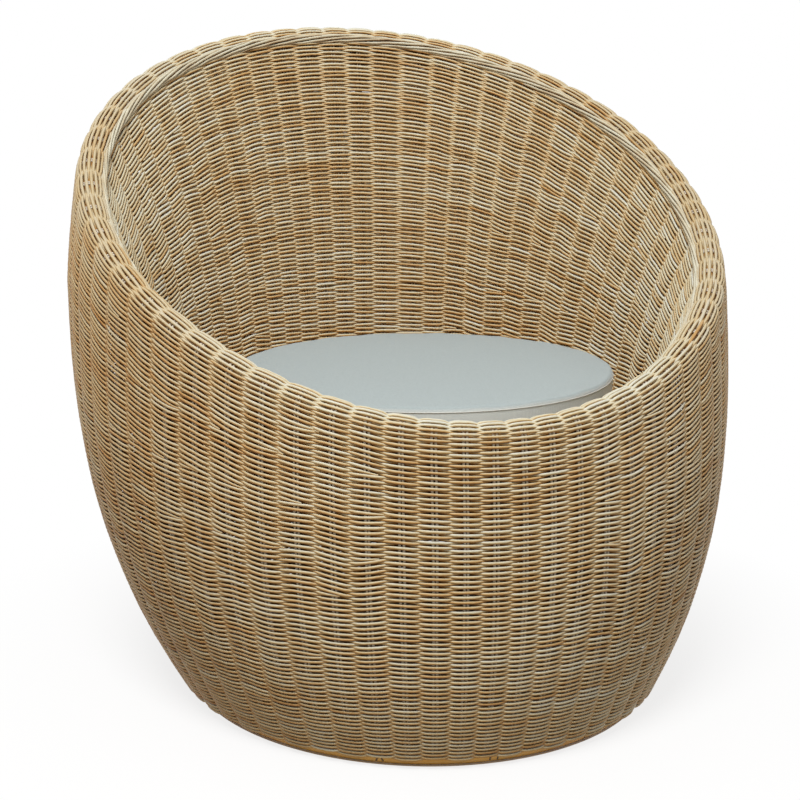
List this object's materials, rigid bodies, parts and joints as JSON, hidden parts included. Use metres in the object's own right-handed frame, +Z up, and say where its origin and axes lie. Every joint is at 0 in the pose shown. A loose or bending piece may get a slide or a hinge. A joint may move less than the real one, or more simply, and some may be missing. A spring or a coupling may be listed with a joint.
{
  "type": "rattan tub chair",
  "caption": "Low round tub chair with a double woven rattan shell, a slanting rolled rim and a loose round seat cushion.",
  "frame": {"origin": "middle of the chair's bounding box, on the floor", "axes": "+X to the sitter's left, -Y to the front where the rim is low, +Z up"},
  "size_m": [0.7872, 0.8369, 0.7438],
  "materials": {
    "base_pole": "peeled pole, light varnish",
    "rattan_pole": "peeled pole, matt",
    "woven_rattan": "woven rattan core, light varnish",
    "border_cane": "twisted rattan core, light varnish",
    "cushion_cloth": "plain woven cloth",
    "cushion_filling": "foam block"
  },
  "bodies": {
    "chair": {"base_hoop_1": "base_pole", "base_hoop_2": "base_pole", "base_hoop_3": "base_pole", "lower_hoop": "rattan_pole", "middle_hoop": "rattan_pole", "upper_hoop": "rattan_pole", "rim_hoop": "rattan_pole", "seat_hoop": "rattan_pole", "wall_rib_1": "rattan_pole", "wall_rib_2": "rattan_pole", "wall_rib_3": "rattan_pole", "wall_rib_4": "rattan_pole", "wall_rib_5": "rattan_pole", "wall_rib_6": "rattan_pole", "wall_rib_7": "rattan_pole", "wall_rib_8": "rattan_pole", "wall_rib_9": "rattan_pole", "wall_rib_10": "rattan_pole", "wall_rib_11": "rattan_pole", "wall_rib_12": "rattan_pole", "back_stay_1": "rattan_pole", "back_stay_2": "rattan_pole", "back_stay_3": "rattan_pole", "back_stay_4": "rattan_pole", "back_stay_5": "rattan_pole", "back_stay_6": "rattan_pole", "seat_leg_1": "rattan_pole", "seat_leg_2": "rattan_pole", "seat_leg_3": "rattan_pole", "seat_leg_4": "rattan_pole", "seat_leg_5": "rattan_pole", "seat_leg_6": "rattan_pole", "seat_rail_1": "rattan_pole", "seat_rail_2": "rattan_pole", "seat_rail_3": "rattan_pole", "seat_rail_4": "rattan_pole", "seat_rail_5": "rattan_pole", "seat_rail_6": "rattan_pole", "seat_rail_7": "rattan_pole", "seat_weave": "woven_rattan", "inner_weave": "woven_rattan", "outer_weave": "woven_rattan", "rim_border": "border_cane"},
    "cushion": {"cushion_foam": "cushion_filling", "cushion_cover": "cushion_cloth"}
  },
  "joints": [
    {"name": "cushion_lift", "type": "slide", "parent": "chair", "child": "cushion", "axis": [0, 0, 1], "range_m": [0, 0.25]}
  ]
}
